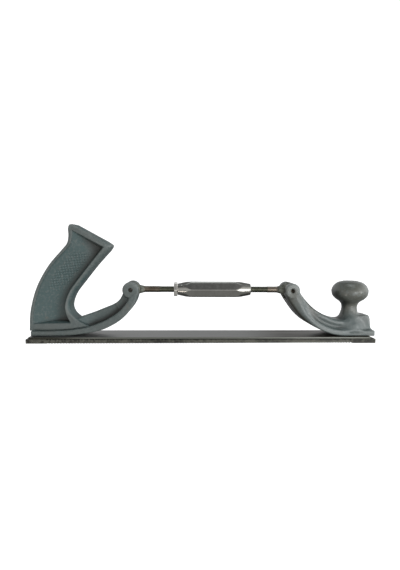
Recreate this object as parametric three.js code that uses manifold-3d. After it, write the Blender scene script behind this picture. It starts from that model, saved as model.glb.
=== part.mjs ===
// Adjustable holder for a flexible body file: a cast pistol grip and a cast knob stand on a spring-steel
// backing strip with a curved-tooth file under it. A turnbuckle between their arms bows the strip and the
// file. Millimetres, +X from the grip to the knob, +Z up, origin at the middle of the file's cutting face.
import * as THREE from "three";
import { mergeVertices } from "three/addons/utils/BufferGeometryUtils.js";
import Module from "manifold-3d";

const wasm = await Module();
wasm.setup();

// ---- Driving dimensions ----------------------------------------------------------------------------
const FILE_LENGTH = 350;
const FILE_WIDTH = 35;
const FILE_THICKNESS = 4.2;
const STRIP_START_X = -172.5;
const STRIP_END_X = 170;
const STRIP_THICKNESS = 1.8;
const GAP = 0.3; // running gap between stacked pieces
const JOINT_GAP = 0.4; // gap between neighbouring segments of the bending strip and file

const LINK_Z = 52.6; // height of both pivot pins and of the turnbuckle's axis
const HANDLE_PIN_X = -73.3;
const KNOB_PIN_X = 89.3;
const MID_X = (HANDLE_PIN_X + KNOB_PIN_X) / 2;
const HINGES_PER_SIDE = 3;
const SEGMENT_LENGTH = 37.4; // length of strip and file that each bending hinge stands for

const FOOT_Z = FILE_THICKNESS + STRIP_THICKNESS + 2 * GAP; // underside of both cast feet
const FLANGE_HALF = 13.5; // half width of the handle's lower flange
const BODY_HALF = 11; // half width of the grip
const WEB_HALF = 3.2; // half thickness of the webs inside the grip and the arm
const KNOB_FLANGE_HALF = 15.5;
const KNOB_BODY_HALF = 12;

const HANDLE_EAR_RADIUS = 8;
const KNOB_EAR_RADIUS = 7.4;
const HANDLE_EAR_HALF = 13; // half width over the ears of the handle's clevis
const KNOB_EAR_HALF = 15.5;
const EYE_RADIUS = 7.4;
const EYE_HALF = 5; // half width of a rod's eye
const SLOT_HALF = 5.8; // half width of the handle's clevis slot
const KNOB_SLOT_HALF = 7.5;
const SLOT_RADIUS = 9.4; // room that the slot leaves round the pin
const PIN_RADIUS = 1.95;
const PIN_BORE_RADIUS = 1.2;
const PIN_SLOT = 0.8;
const PIN_RECESS = 1.2; // depth of each pin end below the ear's face
const EAR_HOLE_RADIUS = 2.05;
const EYE_HOLE_RADIUS = 2.2;

const ROD_RADIUS = 3.15;
const NECK_START = 13.5; // distance from the pin where a rod starts to widen into its eye
const ROD_REACH = 20; // length of rod inside the turnbuckle at rest
const BODY_START_X = -26.5;
const BODY_LENGTH = 75.1;
const HEX_ACROSS_FLATS = 15.4;
const TAPER_LENGTH = 14.5;
const FAR_TAPER_LENGTH = 16.5;
const TAPER_END_RADIUS = 5.8;
const BODY_BORE_RADIUS = 3.6;
const NUT_THICKNESS = 3.6;
const NUT_ACROSS_FLATS = 13.4;
const NUT_TURN = THREE.MathUtils.degToRad(4);

const KNOB_X = 153.6; // the knob's own axis
const SCREW_X = 163; // file screws, this far each side of the middle
const SCREW_RADIUS = 2.4;
const SCREW_HEAD_RADIUS = 4.6;
const SCREW_HOLE_CLEARANCE = 0.25;
const SCREW_HEAD_DEPTH = 2.6;
const SCREW_DEPTH = 12; // height of a screw's tip above the cutting face
const RIVET_RADIUS = 2;
const RIVET_HEAD_RADIUS = 3.1;
const RIVET_HEAD_HEIGHT = 1.1;
const RIVET_DEPTH = 11.4;
const HANDLE_RIVET_X = -147;
const KNOB_RIVET_X = 147;

// ---- Materials -------------------------------------------------------------------------------------
const paint = (color) => new THREE.MeshStandardMaterial({ color, roughness: 0.45, metalness: 0.35 });
const steel = (color, roughness) => new THREE.MeshStandardMaterial({ color, roughness, metalness: 0.9 });
const enamel = paint(0x5f6b6a);
const springSteel = steel(0x77726a, 0.45);
const toothedSteel = steel(0x55544b, 0.5);
const brightPlate = steel(0x9a9c98, 0.22);
const darkSteel = steel(0x5a5048, 0.4);

// ---- Solids from three.js geometry -----------------------------------------------------------------
function toSolid(geometry) {
  const bare = geometry.index ? geometry.toNonIndexed() : geometry.clone();
  bare.deleteAttribute("normal");
  bare.deleteAttribute("uv");
  const merged = mergeVertices(bare, 1e-4);
  const mesh = new wasm.Mesh({
    numProp: 3,
    vertProperties: new Float32Array(merged.attributes.position.array),
    triVerts: new Uint32Array(merged.index.array),
  });
  return new wasm.Manifold(mesh);
}

function toGeometry(solid) {
  const { vertProperties, triVerts } = solid.getMesh();
  const geometry = new THREE.BufferGeometry();
  geometry.setAttribute("position", new THREE.BufferAttribute(new Float32Array(vertProperties), 3));
  geometry.setIndex(new THREE.BufferAttribute(new Uint32Array(triVerts), 1));
  const flat = geometry.toNonIndexed();
  flat.computeVertexNormals();
  return flat;
}

// An outline drawn in X and Z, extruded from y0 to y1.
function plate(outline, y0, y1, curveSegments = 4) {
  const geometry = new THREE.ExtrudeGeometry(outline, {
    depth: y1 - y0,
    bevelEnabled: false,
    curveSegments,
  });
  geometry.rotateX(Math.PI / 2).translate(0, y1, 0);
  return toSolid(geometry);
}

const slab = (outline, half, curveSegments) => plate(outline, -half, half, curveSegments);

function block(x0, x1, y0, y1, z0, z1) {
  const geometry = new THREE.BoxGeometry(x1 - x0, y1 - y0, z1 - z0);
  geometry.translate((x0 + x1) / 2, (y0 + y1) / 2, (z0 + z1) / 2);
  return toSolid(geometry);
}

// A round bar along Y, X or Z.
function barY(radius, x, z, y0, y1, sides = 32) {
  const geometry = new THREE.CylinderGeometry(radius, radius, y1 - y0, sides);
  return toSolid(geometry.translate(x, (y0 + y1) / 2, z));
}

function barX(radius0, radius1, x0, x1, sides = 24) {
  const geometry = new THREE.CylinderGeometry(radius1, radius0, x1 - x0, sides);
  geometry.rotateZ(-Math.PI / 2).translate((x0 + x1) / 2, 0, LINK_Z);
  return toSolid(geometry);
}

function barZ(radius0, radius1, x, z0, z1, sides = 20) {
  const geometry = new THREE.CylinderGeometry(radius1, radius0, z1 - z0, sides);
  geometry.rotateX(Math.PI / 2).translate(x, 0, (z0 + z1) / 2);
  return toSolid(geometry);
}

// A solid of revolution about the vertical line at x, from [radius, height] pairs that run upwards and
// start and end on that line.
function turned(profile, x, sides = 40) {
  const points = profile.map(([radius, z]) => new THREE.Vector2(radius, z));
  const geometry = new THREE.LatheGeometry(points, sides);
  geometry.rotateX(Math.PI / 2).translate(x, 0, 0);
  return toSolid(geometry);
}

const point = ([x, z]) => new THREE.Vector2(x, z);
const smooth = (outline, points) => outline.splineThru(points.map(point));

// ---- Curves that the castings' outlines share ------------------------------------------------------
// Underside of the handle's arm, from the flat foot up to the pivot, and the top of its lower flange.
const HANDLE_UNDER = [
  [-142, FOOT_Z],
  [-129, 6.9],
  [-115.6, 7.8],
  [-96.8, 14.2],
  [-81.6, 23.9],
  [-69.9, 37.8],
  [-65.4, 51],
];
const HANDLE_FLANGE_TOP = [
  [-74, 45.4],
  [-77.5, 39.1],
  [-85.5, 30.4],
  [-96.8, 23],
  [-106.4, 18.7],
  [-119, 14.8],
  [-134, 12.4],
  [-150, 11.5],
];
// Underside of the knob's arm, from the pivot down to the foot, and the top of its lower flange.
const KNOB_UNDER = [
  [KNOB_PIN_X - 7.3, 49],
  [86.6, 41],
  [96.6, 27.8],
  [107.8, 18.6],
  [123, 10.4],
  [132.5, 7.1],
  [142, FOOT_Z],
];
const KNOB_FLANGE_TOP = [
  [150, 12.2],
  [133, 13.8],
  [118, 20.2],
  [106, 30.4],
  [98, 41.5],
  [94.8, 50],
];
const KNOB_ARM_TOP = [
  [137, 22.8],
  [124.4, 27.4],
  [113.4, 33.7],
  [104.3, 41.8],
  [97.4, 50],
];

// ---- Handle casting --------------------------------------------------------------------------------
const HANDLE_HEEL_X = -171.6;
const GRIP_HEEL_X = -173.6;

// The grip's back edge, its sloping end and its front edge.
function gripOutline() {
  const outline = new THREE.Shape();
  outline.moveTo(-150, 11.4);
  outline.lineTo(GRIP_HEEL_X, 11.4);
  smooth(outline, [
    [-172.1, 32],
    [-165.6, 55],
    [-154, 76],
    [-141, 91.4],
    [-135.2, 98.6],
    [-133.7, 106],
    [-134.1, 113],
  ]);
  outline.quadraticCurveTo(-134, 119.4, -127.6, 117.1);
  outline.lineTo(-97.4, 101.2);
  outline.quadraticCurveTo(-89.2, 96.6, -94.4, 91.4);
  smooth(outline, [
    [-107.6, 76.6],
    [-120.4, 60.4],
    [-129.6, 48],
    [-133.4, 37],
    [-131.6, 28.6],
    [-125, 22.6],
  ]);
  outline.lineTo(-119, 14.8);
  outline.lineTo(-134, 12.3);
  outline.closePath();
  return outline;
}

function gripRecessOutline() {
  const outline = new THREE.Shape();
  outline.moveTo(-132.8, 19.2);
  outline.lineTo(-168.6, 18.4);
  smooth(outline, [
    [-167, 35],
    [-161.2, 54.6],
    [-150.4, 74.4],
    [-137.4, 89.6],
    [-131, 97.2],
    [-129.4, 105],
    [-129.2, 111],
  ]);
  outline.lineTo(-99.2, 95.2);
  smooth(outline, [
    [-111.6, 79.6],
    [-124.2, 63.4],
    [-133.6, 50.2],
    [-137.9, 37.4],
    [-136.8, 27.6],
    [-132.8, 19.2],
  ]);
  return outline;
}

function handleFlangeOutline() {
  const outline = new THREE.Shape();
  outline.moveTo(HANDLE_HEEL_X, FOOT_Z);
  outline.lineTo(...HANDLE_UNDER[0]);
  smooth(outline, HANDLE_UNDER.slice(1));
  outline.lineTo(...HANDLE_FLANGE_TOP[0]);
  smooth(outline, HANDLE_FLANGE_TOP.slice(1));
  outline.lineTo(HANDLE_HEEL_X, 11.2);
  outline.closePath();
  return outline;
}

function handleWebOutline() {
  const outline = new THREE.Shape();
  outline.moveTo(-131, 13.5);
  outline.lineTo(-131, 24);
  smooth(outline, [
    [-113.5, 28.8],
    [-100.2, 33.6],
    [-91, 37.6],
    [-85, 42.6],
    [-81.3, 50],
  ]);
  outline.lineTo(-72, 48);
  outline.lineTo(-75, 42);
  smooth(outline, [
    [-87, 26],
    [-103, 17],
    [-131, 10.5],
  ]);
  return outline;
}

// The slot between a clevis's ears, open upwards and along `side` (+1 or -1) towards the turnbuckle.
function clevisSlot(pinX, side, half) {
  const reach = HANDLE_EAR_RADIUS + 6;
  const x0 = side > 0 ? pinX : pinX - reach;
  const mouth = block(x0, x0 + reach, -half, half, LINK_Z - SLOT_RADIUS, LINK_Z + reach);
  return barY(SLOT_RADIUS, pinX, LINK_Z, -half, half).add(mouth);
}

function screwHole(x) {
  const radius = SCREW_RADIUS + SCREW_HOLE_CLEARANCE;
  return barZ(radius, radius, x, -1, SCREW_DEPTH + GAP);
}

function rivetHole(x) {
  const radius = RIVET_RADIUS + SCREW_HOLE_CLEARANCE;
  return barZ(radius, radius, x, FILE_THICKNESS, RIVET_DEPTH + GAP);
}

function handleCasting() {
  const recess = gripRecessOutline();
  const wide = HANDLE_EAR_HALF + 2;
  return slab(gripOutline(), BODY_HALF)
    .subtract(plate(recess, WEB_HALF, wide))
    .subtract(plate(recess, -wide, -WEB_HALF))
    .add(slab(handleWebOutline(), WEB_HALF))
    .add(slab(handleFlangeOutline(), FLANGE_HALF))
    .add(barY(HANDLE_EAR_RADIUS, HANDLE_PIN_X, LINK_Z, -HANDLE_EAR_HALF, HANDLE_EAR_HALF, 36))
    .subtract(clevisSlot(HANDLE_PIN_X, 1, SLOT_HALF))
    .subtract(barY(EAR_HOLE_RADIUS, HANDLE_PIN_X, LINK_Z, -wide, wide, 24))
    .subtract(screwHole(-SCREW_X))
    .subtract(rivetHole(HANDLE_RIVET_X));
}

// ---- Knob casting ----------------------------------------------------------------------------------
const KNOB_FOOT_END_X = 175;
const KNOB_FOOT_CORNER = 1.5;
const LUG_END_X = 174;
const LUG_HALF = 9;
const KNOB_PROFILE = [
  [0, 12],
  [15.4, 12],
  [14.6, 17],
  [12, 22],
  [9.4, 27.2],
  [8, 32],
  [7.8, 35.2],
  [8.4, 38],
  [10.4, 40.6],
  [14.2, 43.2],
  [17.1, 46.4],
  [18.2, 49.8],
  [18.2, 53],
  [16.2, 57.2],
  [12.2, 60.5],
  [6.8, 62.1],
  [0, 62.4],
];

function knobFlangeOutline() {
  const outline = new THREE.Shape();
  outline.moveTo(...KNOB_UNDER[0]);
  smooth(outline, KNOB_UNDER.slice(1));
  outline.lineTo(KNOB_FOOT_END_X, FOOT_Z);
  outline.lineTo(KNOB_FOOT_END_X, 12.2);
  outline.lineTo(...KNOB_FLANGE_TOP[0]);
  smooth(outline, KNOB_FLANGE_TOP.slice(1));
  outline.closePath();
  return outline;
}

function knobArmOutline() {
  const outline = new THREE.Shape();
  outline.moveTo(149, 11);
  outline.lineTo(149, 20);
  outline.lineTo(...KNOB_ARM_TOP[0]);
  smooth(outline, KNOB_ARM_TOP.slice(1));
  outline.lineTo(90, 50);
  smooth(outline, [
    [94, 41],
    [103, 28.6],
    [116, 18.6],
    [132, 12],
  ]);
  outline.closePath();
  return outline;
}

function lugOutline() {
  const outline = new THREE.Shape();
  outline.moveTo(146, 10);
  outline.lineTo(146, 18);
  outline.lineTo(156, 26.4);
  outline.lineTo(168, 27.6);
  outline.quadraticCurveTo(172, 27.4, 172.6, 23.4);
  outline.lineTo(LUG_END_X, 12.2);
  outline.lineTo(LUG_END_X, 10);
  outline.closePath();
  return outline;
}

// What is cut off beside the foot's far corner at +Y to round it, seen from above.
function footCorner() {
  const x = KNOB_FOOT_END_X - KNOB_FOOT_CORNER;
  const y = KNOB_FLANGE_HALF - KNOB_FOOT_CORNER;
  return block(x, x + 8, y, y + 8, 0, 30)
    .subtract(barZ(KNOB_FOOT_CORNER, KNOB_FOOT_CORNER, x, -1, 31, 32).translate(0, y, 0));
}

// Two narrow grooves run down the arm's underside, one under each side of the clevis slot.
function undersideGroove(y0, y1) {
  const outline = new THREE.Shape();
  outline.moveTo(KNOB_PIN_X - 14, 47);
  outline.lineTo(KNOB_PIN_X + 0.7, 47);
  smooth(outline, [
    [93.4, 40],
    [102.4, 27.6],
    [112, 17.6],
  ]);
  outline.lineTo(104, 11);
  outline.closePath();
  return plate(outline, y0, y1);
}

function knobCasting() {
  const wide = KNOB_EAR_HALF + 2;
  const corner = footCorner();
  return slab(knobFlangeOutline(), KNOB_FLANGE_HALF)
    .subtract(corner)
    .subtract(corner.mirror([0, 1, 0]))
    .add(slab(knobArmOutline(), KNOB_BODY_HALF))
    .add(slab(lugOutline(), LUG_HALF))
    .add(turned(KNOB_PROFILE, KNOB_X))
    .add(barY(KNOB_EAR_RADIUS, KNOB_PIN_X, LINK_Z, -KNOB_EAR_HALF, KNOB_EAR_HALF, 36))
    .subtract(clevisSlot(KNOB_PIN_X, -1, KNOB_SLOT_HALF))
    .subtract(undersideGroove(4.5, KNOB_SLOT_HALF))
    .subtract(undersideGroove(-KNOB_SLOT_HALF, -4.5))
    .subtract(barY(EAR_HOLE_RADIUS, KNOB_PIN_X, LINK_Z, -wide, wide, 24))
    .subtract(screwHole(SCREW_X))
    .subtract(rivetHole(KNOB_RIVET_X));
}

// ---- Pins, rods, turnbuckle and nut ----------------------------------------------------------------
// A spring pin rolled from strip, so its wall is open along one side.
function rollPin(pinX, earHalf) {
  const half = earHalf - PIN_RECESS;
  return barY(PIN_RADIUS, pinX, LINK_Z, -half, half, 24)
    .subtract(barY(PIN_BORE_RADIUS, pinX, LINK_Z, -half - 1, half + 1, 16))
    .subtract(block(pinX - PIN_SLOT / 2, pinX + PIN_SLOT / 2, -half - 1, half + 1, LINK_Z, LINK_Z + 4));
}

// A rod with a forged eye. `side` is the direction from the pin to the turnbuckle.
function eyeRod(pinX, side, endX) {
  const neckX = pinX + side * NECK_START;
  const shank = side > 0
    ? barX(ROD_RADIUS, ROD_RADIUS, neckX - 0.5, endX)
    : barX(ROD_RADIUS, ROD_RADIUS, endX, neckX + 0.5);
  const neck = side > 0 ? barX(5, ROD_RADIUS, pinX + 5, neckX) : barX(ROD_RADIUS, 5, neckX, pinX - 5);
  return barY(EYE_RADIUS, pinX, LINK_Z, -EYE_HALF, EYE_HALF, 36)
    .add(neck)
    .add(shank)
    .subtract(barY(EYE_HOLE_RADIUS, pinX, LINK_Z, -EYE_HALF - 1, EYE_HALF + 1, 24));
}

// A hexagonal bar along the link's axis. With no turn an edge faces each side and two flats are level.
function hexBar(acrossFlats, x0, x1, turn = 0) {
  const geometry = new THREE.CylinderGeometry(
    acrossFlats / Math.sqrt(3),
    acrossFlats / Math.sqrt(3),
    x1 - x0,
    6,
  );
  geometry.rotateY(Math.PI / 2 + turn).rotateZ(Math.PI / 2).translate((x0 + x1) / 2, 0, LINK_Z);
  return toSolid(geometry);
}

function turnbuckleBody() {
  const x0 = BODY_START_X;
  const x1 = x0 + BODY_LENGTH;
  const corner = HEX_ACROSS_FLATS / Math.sqrt(3) + 0.3;
  const envelope = barX(TAPER_END_RADIUS, corner, x0, x0 + TAPER_LENGTH, 48)
    .add(barX(corner, corner, x0 + TAPER_LENGTH - 0.01, x1 - FAR_TAPER_LENGTH + 0.01, 48))
    .add(barX(corner, TAPER_END_RADIUS, x1 - FAR_TAPER_LENGTH, x1, 48));
  return hexBar(HEX_ACROSS_FLATS, x0, x1)
    .intersect(envelope)
    .subtract(barX(BODY_BORE_RADIUS, BODY_BORE_RADIUS, x0 - 1, x1 + 1, 32));
}

function lockNut() {
  const x1 = BODY_START_X - 0.15;
  const x0 = x1 - NUT_THICKNESS;
  const corner = NUT_ACROSS_FLATS / Math.sqrt(3);
  const chamfer = 1.1;
  const envelope = barX(corner - chamfer, corner + 0.2, x0, x0 + chamfer, 36)
    .add(barX(corner + 0.2, corner + 0.2, x0 + chamfer - 0.01, x1, 36));
  return hexBar(NUT_ACROSS_FLATS, x0, x1, NUT_TURN)
    .intersect(envelope)
    .subtract(barX(BODY_BORE_RADIUS, BODY_BORE_RADIUS, x0 - 1, x1 + 1, 32));
}

// ---- Strip, file and their fasteners ---------------------------------------------------------------
// Where a bar that ends at x0 and x1 is divided by the bending hinges.
function segmentEnds(x0, x1) {
  const ends = [x0];
  for (let i = 0; i < 2 * HINGES_PER_SIDE; i += 1)
    ends.push(MID_X + (i - HINGES_PER_SIDE + 0.5) * SEGMENT_LENGTH);
  ends.push(x1);
  return ends;
}

function segment(ends, width, z0, z1, index) {
  const last = ends.length - 2;
  const x0 = ends[index] + (index > 0 ? JOINT_GAP / 2 : 0);
  const x1 = ends[index + 1] - (index < last ? JOINT_GAP / 2 : 0);
  return block(x0, x1, -width / 2, width / 2, z0, z1);
}

function screwSeat(x) {
  const radius = SCREW_RADIUS + SCREW_HOLE_CLEARANCE;
  const headRadius = SCREW_HEAD_RADIUS + SCREW_HOLE_CLEARANCE;
  const top = SCREW_HEAD_DEPTH + SCREW_HOLE_CLEARANCE;
  return barZ(headRadius, headRadius, x, -1, 0.8, 28)
    .add(barZ(headRadius, radius, x, 0.8 - 0.001, top, 28))
    .add(screwHole(x));
}

function fileSegment(index) {
  const ends = segmentEnds(-FILE_LENGTH / 2, FILE_LENGTH / 2);
  const solid = segment(ends, FILE_WIDTH, 0, FILE_THICKNESS, index);
  if (index === 0) return solid.subtract(screwSeat(-SCREW_X));
  if (index === 2 * HINGES_PER_SIDE) return solid.subtract(screwSeat(SCREW_X));
  return solid;
}

function rivetSeat(x) {
  const radius = RIVET_HEAD_RADIUS + SCREW_HOLE_CLEARANCE;
  const z0 = FILE_THICKNESS + GAP;
  return barZ(radius, radius, x, z0 - 1, z0 + RIVET_HEAD_HEIGHT + SCREW_HOLE_CLEARANCE).add(rivetHole(x));
}

function stripSegment(index) {
  const z0 = FILE_THICKNESS + GAP;
  const ends = segmentEnds(STRIP_START_X, STRIP_END_X);
  const solid = segment(ends, FILE_WIDTH, z0, z0 + STRIP_THICKNESS, index);
  if (index === 0) return solid.subtract(screwHole(-SCREW_X)).subtract(rivetSeat(HANDLE_RIVET_X));
  if (index === 2 * HINGES_PER_SIDE)
    return solid.subtract(screwHole(SCREW_X)).subtract(rivetSeat(KNOB_RIVET_X));
  return solid;
}

// Countersunk screw from below through file and strip into a foot. Its head sits just inside the face.
function fileScrew(x) {
  const headZ = 0.4;
  return barZ(SCREW_HEAD_RADIUS, SCREW_HEAD_RADIUS, x, headZ, 0.8, 28)
    .add(barZ(SCREW_HEAD_RADIUS, SCREW_RADIUS, x, 0.8 - 0.001, SCREW_HEAD_DEPTH, 28))
    .add(barZ(SCREW_RADIUS, SCREW_RADIUS, x, SCREW_HEAD_DEPTH - 0.01, SCREW_DEPTH))
    .subtract(block(x - 6, x + 6, -0.5, 0.5, 0, headZ + 1.1));
}

// Flat-headed rivet that holds the strip to a foot while the file is off.
function stripRivet(x) {
  const z0 = FILE_THICKNESS + GAP + 0.05;
  return barZ(RIVET_HEAD_RADIUS, RIVET_HEAD_RADIUS, x, z0, z0 + RIVET_HEAD_HEIGHT)
    .add(barZ(RIVET_RADIUS, RIVET_RADIUS, x, z0 + RIVET_HEAD_HEIGHT - 0.01, RIVET_DEPTH));
}

// ---- Scene graph -----------------------------------------------------------------------------------
const holder = new THREE.Group();

function place(name, solid, material, parent) {
  const mesh = new THREE.Mesh(toGeometry(solid), material);
  mesh.name = name;
  parent.add(mesh);
}

const handleEnd = new THREE.Group();
place("handle_casting", handleCasting(), enamel, handleEnd);
place("handle_roll_pin", rollPin(HANDLE_PIN_X, HANDLE_EAR_HALF), darkSteel, handleEnd);
place("handle_file_screw", fileScrew(-SCREW_X), darkSteel, handleEnd);
place("handle_strip_rivet", stripRivet(HANDLE_RIVET_X), darkSteel, handleEnd);

const knobEnd = new THREE.Group();
place("knob_casting", knobCasting(), enamel, knobEnd);
place("knob_roll_pin", rollPin(KNOB_PIN_X, KNOB_EAR_HALF), darkSteel, knobEnd);
place("knob_file_screw", fileScrew(SCREW_X), darkSteel, knobEnd);
place("knob_strip_rivet", stripRivet(KNOB_RIVET_X), darkSteel, knobEnd);

const link = new THREE.Group();
const bodyEndX = BODY_START_X + BODY_LENGTH;
place("handle_eye_rod", eyeRod(HANDLE_PIN_X, 1, BODY_START_X + ROD_REACH), darkSteel, link);
place("knob_eye_rod", eyeRod(KNOB_PIN_X, -1, bodyEndX - ROD_REACH), darkSteel, link);
place("turnbuckle_body", turnbuckleBody(), brightPlate, link);
place("lock_nut", lockNut(), brightPlate, link);

const blade = new THREE.Group();
for (let i = 0; i <= 2 * HINGES_PER_SIDE; i += 1) {
  place(`file_segment_${i + 1}`, fileSegment(i), toothedSteel, blade);
  place(`strip_segment_${i + 1}`, stripSegment(i), springSteel, blade);
}

holder.add(handleEnd, knobEnd, link, blade);
export default holder;
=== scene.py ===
import math

import bpy
import numpy as np
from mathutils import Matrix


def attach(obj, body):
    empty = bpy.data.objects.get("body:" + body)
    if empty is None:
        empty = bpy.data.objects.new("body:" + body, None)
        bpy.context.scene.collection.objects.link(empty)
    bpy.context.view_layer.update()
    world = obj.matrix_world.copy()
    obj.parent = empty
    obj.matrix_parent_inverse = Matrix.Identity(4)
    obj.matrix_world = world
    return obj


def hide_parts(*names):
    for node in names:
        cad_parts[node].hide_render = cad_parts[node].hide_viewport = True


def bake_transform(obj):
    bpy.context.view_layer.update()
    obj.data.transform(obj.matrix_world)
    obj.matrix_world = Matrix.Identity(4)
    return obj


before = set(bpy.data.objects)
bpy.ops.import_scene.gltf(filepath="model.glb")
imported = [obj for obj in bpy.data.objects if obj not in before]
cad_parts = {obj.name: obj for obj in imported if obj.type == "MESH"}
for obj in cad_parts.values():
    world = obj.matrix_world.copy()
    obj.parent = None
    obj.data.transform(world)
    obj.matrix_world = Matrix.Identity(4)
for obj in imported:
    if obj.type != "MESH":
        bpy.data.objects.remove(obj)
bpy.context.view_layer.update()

import openvdb
from mathutils import Matrix, Vector

# Lengths are in millimetres until a mesh is made, and in metres in materials, lights and the camera.
# +X runs from the grip to the knob and +Z is up.
MM = 0.001

FOOT_Z = 6.6
LINK_Z = 52.6
HANDLE_PIN_X = -73.3
KNOB_PIN_X = 89.3
HANDLE_HEEL_X = -171.6
HANDLE_EAR_RADIUS = 8
KNOB_EAR_RADIUS = 7.4
PIN_HOLE_RADIUS = 2.05
HANDLE_EAR_HALF = 13
HANDLE_SLOT_HALF = 5.8
KNOB_EAR_HALF = 15.5
KNOB_SLOT_HALF = 7.5
SLOT_RADIUS = 9.4
FLANGE_HALF = 13.5
BODY_HALF = 11
WEB_HALF = 3.2
KNOB_FLANGE_HALF = 15.5
KNOB_BODY_HALF = 12
KNOB_X = 153.6
KNURL_PITCH = 3.6
KNURL_DEPTH = 0.4

PIN_RADIUS = 1.95
PIN_BORE = 1.2
PIN_RECESS = 1.2
EYE_RADIUS = 7.5
EYE_HALF = 5
EYE_HOLE_RADIUS = 2.2
ROD_RADIUS = 3.15
ROD_REACH = 20
THREAD_PITCH = 1.25
THREAD_DEPTH = 0.34
THREAD_RUNOUT = 0.4
HANDLE_THREAD_START = 29
KNOB_THREAD_START = 23.5
BODY_START_X = -26.5
BODY_END_X = 48.6
BODY_BORE_RADIUS = 3.6
HEX_ACROSS_FLATS = 15.4
TAPER_LENGTH = 14.5
FAR_TAPER_LENGTH = 16.5
TAPER_END_RADIUS = 5.8
NUT_THICKNESS = 3.6
NUT_ACROSS_FLATS = 13.4
NUT_TURN = math.radians(4)

SCREW_X = 163
SCREW_RADIUS = 2.4
SCREW_HEAD_RADIUS = 4.6
SCREW_HOLE_RADIUS = 2.65
SCREW_HOLE_TOP = 12.3
SCREW_HEAD_Z = 0.4
SCREW_TIP_Z = 12
SCREW_SEAT_CLEARANCE = 0.25
RIVET_X = 147
RIVET_HOLE_RADIUS = 2.25
RIVET_HOLE_TOP = 11.7

FILE_HALF_LENGTH = 175
FILE_HALF_WIDTH = 17.5
FILE_THICKNESS = 4.2
PAD_LENGTH = 22
TOOTH_PITCH = 2.8
TOOTH_DEPTH = 1.15
TOOTH_BULGE = 5.2
# One tooth: the share of the pitch along it, and the share of the depth there.
TOOTH_PROFILE = ((0.0, 0.0), (0.22, 0.0), (0.32, 0.62), (0.42, 0.96), (0.52, 1.0), (0.70, 0.62), (0.88, 0.2))
POINTS_ACROSS_FILE = 25
STRIP_START_X = -172.5
STRIP_END_X = 170
STRIP_BOTTOM = 4.5
STRIP_TOP = 6.3
STRIP_CORNER = 0.35
STRIP_STATIONS = 16
FIRST_HINGE_X = -85.5
HINGE_SPACING = 37.4
BLADE_BODIES = (
    "handle_end", "blade_left_2", "blade_left_1", "blade_middle",
    "blade_right_1", "blade_right_2", "knob_end",
)

# Spacing of the points at which each kind of distance field is kept.
CASTING_STEP = 0.5
ROD_STEP = 0.3
SLEEVE_STEP = 0.25
NUT_STEP = 0.2
SCREW_STEP = 0.2
PIN_STEP = 0.15


# ---- Curves ----------------------------------------------------------------------------------------
def spline(points, steps=8):
    """A Catmull-Rom curve through the points."""
    p = np.asarray(points, float)
    if len(p) < 3:
        return p
    p = np.vstack([2 * p[0] - p[1], p, 2 * p[-1] - p[-2]])
    t = np.linspace(0, 1, steps, endpoint=False)[:, None]
    pieces = []
    for a, b, c, d in zip(p, p[1:], p[2:], p[3:]):
        pieces.append(
            0.5 * (2 * b + (c - a) * t + (2 * a - 5 * b + 4 * c - d) * t**2 + (3 * b - a - 3 * c + d) * t**3)
        )
    return np.vstack(pieces + [p[-2:-1]])


def outline(*runs):
    """A closed outline: each run is a smooth curve, and straight lines join the runs."""
    return np.vstack([spline(run) for run in runs])


HANDLE_UNDER = [
    (-142, FOOT_Z), (-132, 7.1), (-121.5, 8.4), (-109, 10.7), (-96.8, 14.6), (-81.6, 23.9), (-69.9, 37.8),
    (-65.4, 51),
]
HANDLE_FLANGE_TOP = [
    (-74, 45.4), (-77.5, 39.1), (-85.5, 30.4), (-96.8, 23), (-106.4, 18.7), (-119, 14.8), (-134, 12.4),
    (-150, 11.5),
]
GRIP_BACK = [
    (-173.6, 11.4), (-172.1, 32), (-165.6, 55), (-154, 76), (-141, 91.4), (-135.2, 98.6), (-133.7, 106),
    (-133.9, 113.2), (-132.1, 117), (-127.6, 117.1),
]
GRIP_NOSE = [(-96.9, 100.6), (-91.9, 96.6), (-94.4, 91.4)]
GRIP_FRONT = [
    (-94.4, 91.4), (-107.6, 76.6), (-120.4, 60.4), (-129.6, 48), (-133.4, 37), (-131.8, 28.4), (-125.4, 22),
]
GRIP_FOOT = [(-112, 14), (-134, 12.2), (-150, 11.4)]
# Directions in (x, z): along the grip's grooves, and square to its sloping end.
KNURL_WAY = (0.62, 0.785)
END_FACE_WAY = (0.49, 0.87)
RECESS_BACK = [
    (-170, 18.4), (-168.4, 34), (-162.6, 54.6), (-151.6, 74.6), (-138.5, 90), (-132, 97.4), (-130.2, 105),
    (-129.8, 111.2),
]
RECESS_FRONT = [
    (-99.2, 95.2), (-111.6, 79.6), (-124.2, 63.4), (-133.6, 50.2), (-137.9, 37.4), (-136.8, 27.6),
    (-132.8, 19.2),
]
ARM_TOP = [(-126.4, 23.4), (-113.5, 28.2), (-100.2, 33.6), (-91, 37.6), (-85, 42.6), (-81.3, 50)]

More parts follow.
